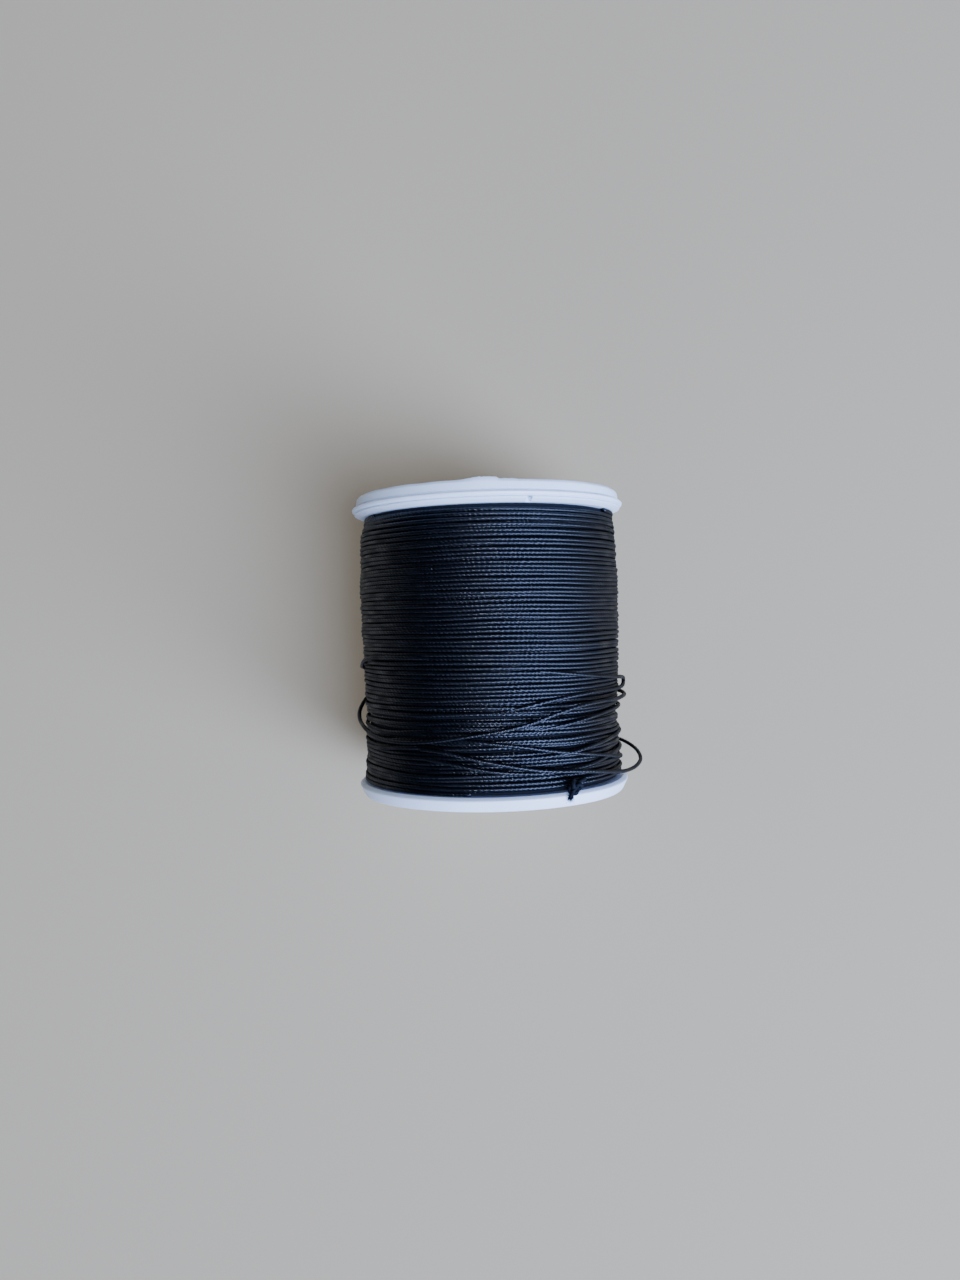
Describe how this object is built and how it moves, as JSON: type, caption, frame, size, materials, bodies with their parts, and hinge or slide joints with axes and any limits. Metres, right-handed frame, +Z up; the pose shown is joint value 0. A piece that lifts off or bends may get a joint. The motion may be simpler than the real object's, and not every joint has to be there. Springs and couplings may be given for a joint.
{
  "type": "spool of thread",
  "caption": "Flanged plastic spool wound with heavy black thread, with a snap cap that lifts to hold or free the thread's end.",
  "frame": {"origin": "on the surface that the spool lies on, under the middle of its length and its axis", "axes": "+Y along the spool's axis towards the snap cap, +Z up, +X to the right with the cap at the top of the view from above; the axis is 19.81 mm above the floor"},
  "size_m": [0.0424, 0.0436, 0.0396],
  "materials": {
    "spool_plastic": "moulded, satin to gloss, slightly translucent",
    "cap_plastic": "moulded, satin to gloss, slightly translucent",
    "label_paper": "matt paper, blank",
    "thread": "bonded twisted filament, soft sheen"
  },
  "bodies": {
    "spool": {"barrel": "spool_plastic", "base_flange": "spool_plastic", "cap_flange": "spool_plastic", "thread_winding": "thread", "slack_strand": "thread", "loose_loop": "thread", "end_knot": "thread", "base_label": "label_paper"},
    "cap": {"snap_cap": "cap_plastic", "cap_label": "label_paper"}
  },
  "joints": [
    {"name": "cap_lift", "type": "slide", "parent": "spool", "child": "cap", "axis": [0, 1, 0], "range_m": [0, 0.0015]}
  ]
}
